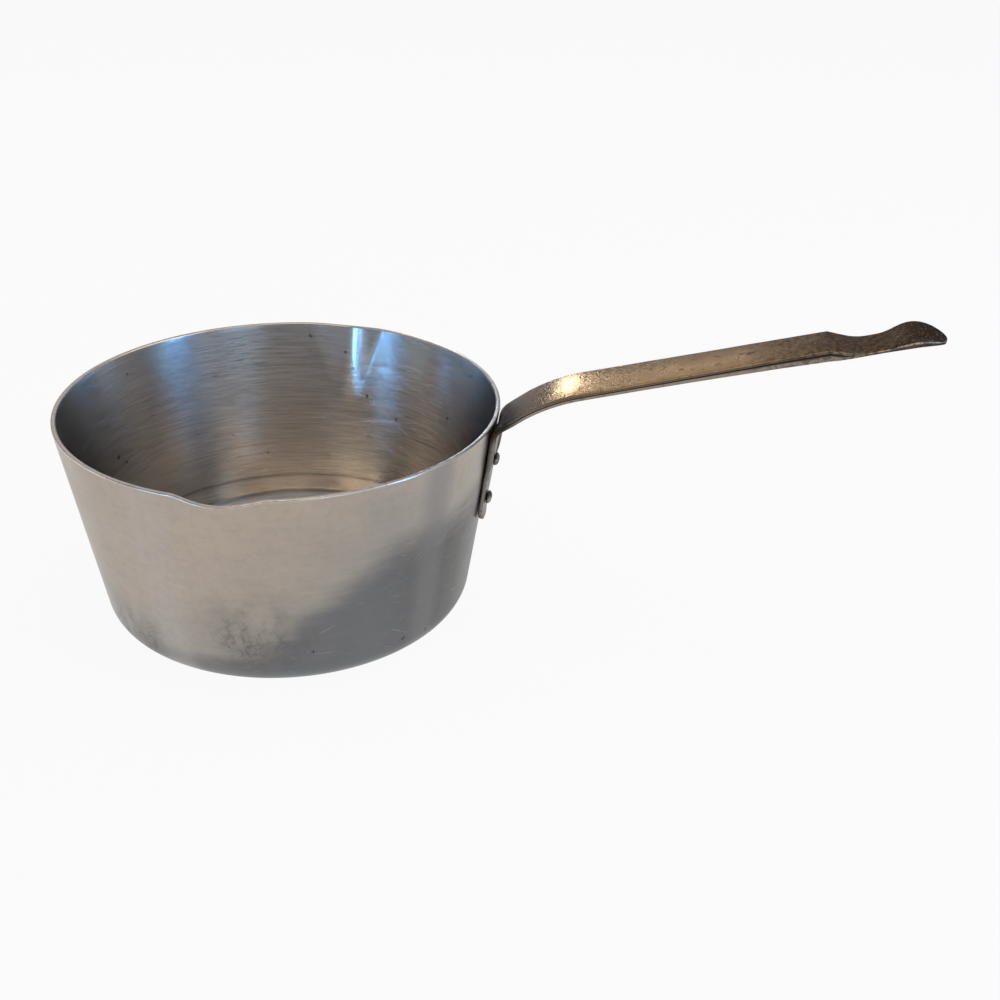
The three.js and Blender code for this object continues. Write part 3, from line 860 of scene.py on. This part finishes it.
def browned_steel():
    """Plated steel gone brown: golden where hands rub, speckled with tarnish, dark at the hanging end."""
    material, tree, shader, place = metal("browned steel")
    shader.inputs["Specular Tint"].default_value = PLATING_SHEEN
    at = add(tree, "ShaderNodeSeparateXYZ", {0: place}).outputs
    rubbed = effect(tree, blotches, place, Scale=60, Level=0.5, Softness=0.2)
    color = blend(tree, rubbed, BROWN_STEEL, GOLDEN_STEEL)
    toward_end = ramp(tree, at["X"], *END_X)
    color = blend(tree, toward_end, color, END_STEEL)
    at_tip = ramp(tree, at["X"], *TIP_X)
    color = blend(tree, at_tip, color, TIP_STEEL)
    # Painted shade: the neck, where the strip bends away by the rim, is darker and greyer.
    at_neck = ramp(tree, at["X"], *NECK_X)
    color = lay(tree, color, at_neck, 0.5, NECK_SHADE_STEEL)
    # Painted shade: the turned-down sides, found by their normals, are darker and greyer than the top.
    normal = add(tree, "ShaderNodeNewGeometry").outputs["Normal"]
    side = ramp(tree, add(tree, "ShaderNodeSeparateXYZ", {0: normal}).outputs["Z"], *SIDE_FACING)
    side_shade = blend(tree, ramp(tree, at["X"], *END_SIDE_X), SIDE_SHADE_STEEL, END_SIDE_SHADE_STEEL)
    color = lay(tree, color, side, 0.9, side_shade)
    # Painted shade and highlight along the fold: a dark line along the grip, a light one from the hump on.
    fold = ramp(tree, add(tree, "ShaderNodeAttribute", attribute_name="fold").outputs["Fac"], 0.5, 0.85)
    fold_shade_and_highlight = blend(tree, ramp(tree, at["X"], *FOLD_HIGHLIGHT_X), FOLD_SHADE_LINE, FOLD_HIGHLIGHT)
    color = blend(tree, fold, color, fold_shade_and_highlight)
    color = lay(tree, color, ramp(tree, at["Z"], *SHANK_HEIGHTS), 0.9, SHANK_STEEL)
    # Painted shade round the rivet heads on the shank.
    rivet_places = [(wall_radius(z) + HANDLE_SHEET, 0, z) for z in RIVET_HEIGHTS]
    color = lay(tree, color, patches(tree, place, rivet_places, RIVET_SHADE_REACH), 0.8, RIVET_SHADE)
    # Painted shade, darkest where the neck meets the rim.
    neck_shade = calc(tree, "MULTIPLY", ramp(tree, at["X"], *NECK_SHADE_X), ramp(tree, at["Z"], *NECK_SHADE_HEIGHTS))
    color = lay(tree, color, neck_shade, 0.9, NECK_SHADE)
    tarnish = effect(tree, blotches, place, Scale=240, Level=0.62, Softness=0.07)
    color = lay(tree, color, tarnish, 0.45, TARNISH)
    grit = effect(tree, blotches, place, Scale=520, Level=0.5, Softness=0.06)
    gritty = ramp(tree, at["X"], *GRITTY_X)
    color = lay(tree, color, calc(tree, "MULTIPLY", grit, gritty), 0.65, END_GRIT)
    bared = calc(tree, "SUBTRACT", calc(tree, "MAXIMUM", gritty, at_neck), side)
    flecks = effect(tree, specks, place, Scale=1200, Size=0.5, Share=0.35)
    flecks = calc(tree, "MULTIPLY", flecks, calc(tree, "MAXIMUM", bared, 0))
    color = lay(tree, color, flecks, 0.7, BARE_FLECK)
    spots = effect(tree, specks, place, Scale=900, Size=0.42, Share=0.14)
    color = lay(tree, color, spots, 0.6, RUST_SPOT)
    tree.links.new(color, shader.inputs["Base Color"])
    rough = calc(tree, "MULTIPLY_ADD", tarnish, 0.18, 0.3)
    rough = calc(tree, "MULTIPLY_ADD", rubbed, -0.05, rough)
    rough = calc(tree, "MULTIPLY_ADD", near(tree, place, HANDLE_BEND, SHINE_REACH), -0.08, rough)
    rough = calc(tree, "MULTIPLY_ADD", calc(tree, "MAXIMUM", at_tip, fold), 0.2, rough)
    tree.links.new(calc(tree, "MULTIPLY_ADD", toward_end, 0.16, rough), shader.inputs["Roughness"])
    dents = add(tree, "ShaderNodeTexNoise", {"Vector": place, "Scale": 800, "Detail": 4}).outputs[0]
    beaten = calc(tree, "MULTIPLY_ADD", near(tree, place, HANDLE_BEND, BEATEN_REACH), 2, 1)
    relief = calc(tree, "MULTIPLY_ADD", spots, -1.0, calc(tree, "MULTIPLY", dents, beaten))
    raise_surface(tree, shader, relief, 0.00004)
    return material


handle = bpy.data.objects.new("handle_strip", handle_mesh())
handle.data.materials.append(browned_steel())
bpy.context.scene.collection.objects.link(handle)
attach(handle, "root")
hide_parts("handle")


# Rivets: two soft metal rivets through wall and shank, hammered to a dome outside
# and to a low flat head inside the pan.
RIVET_RADIUS = 0.0019
OUTER_HEAD_RADIUS = 0.003
OUTER_HEAD_HEIGHT = 0.0022
OUTER_HEAD_EDGE = 0.0008
INNER_HEAD_RADIUS = 0.0044
INNER_HEAD_HEIGHT = 0.0013
INNER_HEAD_EDGE = 0.0005
RIVET_HAMMERING = 0.0003
RIVET_SIDES = 48
DOME_STEPS = 14


def rivet_section():
    """Radius and distance from the outside of the wall, from the inner head's middle to the outer head's."""
    inner_seat = -PAN_SHEET - SEAT_GAP
    outer_seat = HANDLE_SHEET + 2 * SEAT_GAP

    def dome(radius, straight_side, height):
        return [(radius * math.cos(a), straight_side + (height - straight_side) * math.sin(a))
                for a in spread(0, math.pi / 2, DOME_STEPS)]

    inner = dome(INNER_HEAD_RADIUS, INNER_HEAD_EDGE, INNER_HEAD_HEIGHT)
    outer = dome(OUTER_HEAD_RADIUS, OUTER_HEAD_EDGE, OUTER_HEAD_HEIGHT)
    return [
        *[(r, inner_seat - along) for r, along in reversed(inner)],
        (INNER_HEAD_RADIUS, inner_seat), (RIVET_RADIUS, inner_seat),
        (RIVET_RADIUS, outer_seat), (OUTER_HEAD_RADIUS, outer_seat),
        *[(r, outer_seat + along) for r, along in outer],
    ]


def rivet_tree():
    """The turned rivet set on points of the wall, square to it, with heads a little hammered."""
    tree, given, made = new_group(
        "Rivets", "GeometryNodeTree",
        {"Section": "NodeSocketGeometry", "Sides": "NodeSocketInt", "Count": "NodeSocketInt",
         "Lower": "NodeSocketVector", "Step": "NodeSocketVector", "Tilt": "NodeSocketFloat",
         "Hammering": "NodeSocketFloat", "Metal": "NodeSocketMaterial"},
        {"Geometry": "NodeSocketGeometry"},
    )
    rivet = add(tree, "GeometryNodeGroup", node_tree=turned_section)
    feed(tree, rivet.inputs["Section"], given["Section"])
    feed(tree, rivet.inputs["Sides"], given["Sides"])
    feed(tree, rivet.inputs["Crowding"], 0)
    seats = add(tree, "GeometryNodeMeshLine", {
        "Count": given["Count"], "Start Location": given["Lower"], "Offset": given["Step"],
    }, mode="OFFSET")
    turn = add(tree, "FunctionNodeEulerToRotation",
               {0: add(tree, "ShaderNodeCombineXYZ", {"Y": given["Tilt"]}).outputs[0]})
    placed = add(tree, "GeometryNodeInstanceOnPoints", {
        "Points": seats.outputs[0], "Instance": rivet.outputs[0], "Rotation": turn.outputs[0],
    })
    real = add(tree, "GeometryNodeRealizeInstances", {"Geometry": placed.outputs[0]})
    place = add(tree, "GeometryNodeInputPosition").outputs[0]
    blows = add(tree, "ShaderNodeTexNoise", {"Vector": place, "Scale": 420, "Detail": 1}).outputs[0]
    depth = calc(tree, "MULTIPLY", calc(tree, "SUBTRACT", blows, 0.5), given["Hammering"])
    normal = add(tree, "GeometryNodeInputNormal").outputs[0]
    dent = add(tree, "ShaderNodeVectorMath", {0: normal, "Scale": depth}, operation="SCALE").outputs[0]
    hammered = add(tree, "GeometryNodeSetPosition", {"Geometry": real.outputs[0], "Offset": dent})
    finished = add(tree, "GeometryNodeSetMaterial",
                   {"Geometry": hammered.outputs[0], "Material": given["Metal"]})
    tree.links.new(finished.outputs[0], made["Geometry"])
    return tree


RIVET_HOLLOWS = (0.08, 0.07, 0.06, 1)
RIVET_RUBBED = (0.32, 0.27, 0.215, 1)
INNER_HEAD_METAL = (0.52, 0.49, 0.45, 1)
INNER_HEAD_X = (0.0966, 0.0958)


def rivet_metal():
    """Dull grey metal, darkened in its hollows and lighter on the heads inside the pan."""
    material, tree, shader, place = metal("rivet metal")
    worn = effect(tree, blotches, place, Scale=500, Level=0.5, Softness=0.15)
    color = blend(tree, worn, RIVET_HOLLOWS, RIVET_RUBBED)
    at = add(tree, "ShaderNodeSeparateXYZ", {0: place}).outputs
    inside = ramp(tree, at["X"], *INNER_HEAD_X)
    tree.links.new(lay(tree, color, inside, 0.85, INNER_HEAD_METAL), shader.inputs["Base Color"])
    rough = calc(tree, "MULTIPLY_ADD", inside, -0.2, 0.55)
    tree.links.new(calc(tree, "MULTIPLY_ADD", worn, -0.1, rough), shader.inputs["Roughness"])
    raise_surface(tree, shader, worn, 0.00004)
    return material


rivets = drawn_outline("rivets", rivet_section())
lower, upper = (Vector((wall_radius(z), 0, z)) for z in RIVET_HEIGHTS)
shape_by_tree(rivets, rivet_tree(), {
    "Sides": RIVET_SIDES, "Count": len(RIVET_HEIGHTS), "Lower": lower, "Step": upper - lower,
    "Tilt": math.pi / 2 + wall_lean, "Hammering": RIVET_HAMMERING, "Metal": rivet_metal(),
})
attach(rivets, "root")
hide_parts("rivet_lower", "rivet_upper")


# Stage: a plain pale table top that the pan stands on.
# It shows white to the camera and in the metal, and keeps a faint shadow.
FLOOR_HALF = 6
TABLE_COLOR = (0.86, 0.86, 0.86, 1)
WHITE_SHARE = 0.93

corners = [(x * FLOOR_HALF, y * FLOOR_HALF, 0) for x, y in ((-1, -1), (1, -1), (1, 1), (-1, 1))]
floor_mesh = bpy.data.meshes.new("floor")
floor_mesh.from_pydata(corners, [], [(0, 1, 2, 3)])
floor = bpy.data.objects.new("floor", floor_mesh)
bpy.context.scene.collection.objects.link(floor)

table = bpy.data.materials.new("pale table")
table.use_nodes = True
tree = table.node_tree
tree.nodes.clear()
lit = add(tree, "ShaderNodeBsdfDiffuse", {"Color": TABLE_COLOR})
white = add(tree, "ShaderNodeEmission", {"Color": (1, 1, 1, 1), "Strength": 1})
ray = add(tree, "ShaderNodeLightPath").outputs
mirrored = calc(tree, "MAXIMUM", ray["Is Glossy Ray"], ray["Is Transmission Ray"])
seen = calc(tree, "MAXIMUM", ray["Is Camera Ray"], mirrored)
shown = add(tree, "ShaderNodeMixShader",
            {0: calc(tree, "MULTIPLY", seen, WHITE_SHARE), 1: lit.outputs[0], 2: white.outputs[0]})
add(tree, "ShaderNodeOutputMaterial", {"Surface": shown.outputs[0]})
floor_mesh.materials.append(table)


# Light: a dim sky, a warm soft key from the handle's side, a warm lamp above and paler lamps round about.
# Narrow blue panels stand for windows that the metal mirrors, and two small lamps light bend and grip.
HORIZON = (0.23, 0.27, 0.36, 1)
ZENITH = (0.3, 0.285, 0.28, 1)
PAN_MIDDLE = (0, 0, 0.06)
GRIP_START = (0.165, 0, 0.138)
PANEL_DISTANCE = 1.4

world = bpy.data.worlds.new("studio")
bpy.context.scene.world = world
world.use_nodes = True
tree = world.node_tree
direction = add(tree, "ShaderNodeTexCoord").outputs["Generated"]
upward = add(tree, "ShaderNodeSeparateXYZ", {0: direction}).outputs["Z"]
sky = blend(tree, ramp(tree, upward, 0.02, 0.55), HORIZON, ZENITH)
tree.links.new(sky, tree.nodes["Background"].inputs["Color"])


def panel(name, azimuth, elevation, size, watts, color,
          target=PAN_MIDDLE, distance=PANEL_DISTANCE, beam=180):
    """A soft rectangular lamp that looks at its target. Size is width and height, angles are in degrees."""
    lamp = bpy.data.lights.new(name, "AREA")
    lamp.shape = "RECTANGLE"
    lamp.size, lamp.size_y = size
    lamp.energy = watts
    lamp.color = color
    lamp.spread = math.radians(beam)
    holder = bpy.data.objects.new(name, lamp)
    a, e = math.radians(azimuth), math.radians(elevation)
    toward = Vector((math.cos(a) * math.cos(e), math.sin(a) * math.cos(e), math.sin(e)))
    turn = toward.to_track_quat("Z", "Y").to_matrix().to_4x4()
    holder.matrix_world = Matrix.Translation(Vector(target) + toward * distance) @ turn
    holder.visible_camera = False
    bpy.context.scene.collection.objects.link(holder)


panel("key", azimuth=10, elevation=45, size=(1.2, 1), watts=4.2, color=(1, 0.85, 0.65))
panel("window_right", azimuth=-14, elevation=15, size=(0.08, 0.5), watts=4.8, color=(0.09, 0.41, 1))
panel("window_high", azimuth=-14, elevation=28, size=(0.08, 0.4), watts=0.4, color=(0.7, 0.9, 1))
panel("window_lip", azimuth=-125, elevation=8, size=(0.06, 0.25), watts=1.2, color=(0.2, 0.65, 1))
panel("window_left", azimuth=-137, elevation=15, size=(0.06, 0.5), watts=0.8, color=(0.2, 0.45, 1))
panel("lamp_left", azimuth=185, elevation=20, size=(0.6, 0.5), watts=0.8, color=(0.75, 0.88, 1))
panel("lamp_front", azimuth=-51, elevation=15, size=(0.5, 0.4), watts=1, color=(0.5, 0.75, 1))
panel("lamp_top", azimuth=-90, elevation=88, size=(0.8, 0.8), watts=2, color=(1, 0.82, 0.62))
panel("lamp_bend", azimuth=108.8, elevation=12.6, size=(0.05, 0.05), watts=0.0032, color=(1, 0.97, 0.9),
      target=HANDLE_BEND, distance=0.5, beam=30)
panel("lamp_grip", azimuth=101, elevation=21, size=(0.16, 0.05), watts=0.0016, color=(1, 0.9, 0.75),
      target=GRIP_START, distance=0.6, beam=40)
panel("lamp_back", azimuth=108, elevation=32, size=(1.2, 0.5), watts=0.4, color=(1, 0.92, 0.84))


# Camera: where the photograph was taken from, above the pan's front and a little toward the handle.
# The lens and the sensor's width are in millimetres, the turns about X, Y and Z in degrees.
LENS = 48.184
SENSOR_WIDTH = 36
CAMERA_PLACE = (0.1871, -0.5443, 0.3488)
CAMERA_TURNS = (62.2155, -0.973, 9.2624)

camera_data = bpy.data.cameras.new("camera")
camera_data.lens = LENS
camera_data.sensor_width = SENSOR_WIDTH
camera = bpy.data.objects.new("camera", camera_data)
camera_turn = Euler([math.radians(angle) for angle in CAMERA_TURNS]).to_matrix().to_4x4()
camera.matrix_world = Matrix.Translation(CAMERA_PLACE) @ camera_turn
bpy.context.scene.collection.objects.link(camera)
bpy.context.scene.camera = camera
bpy.context.scene.view_settings.view_transform = "Standard"
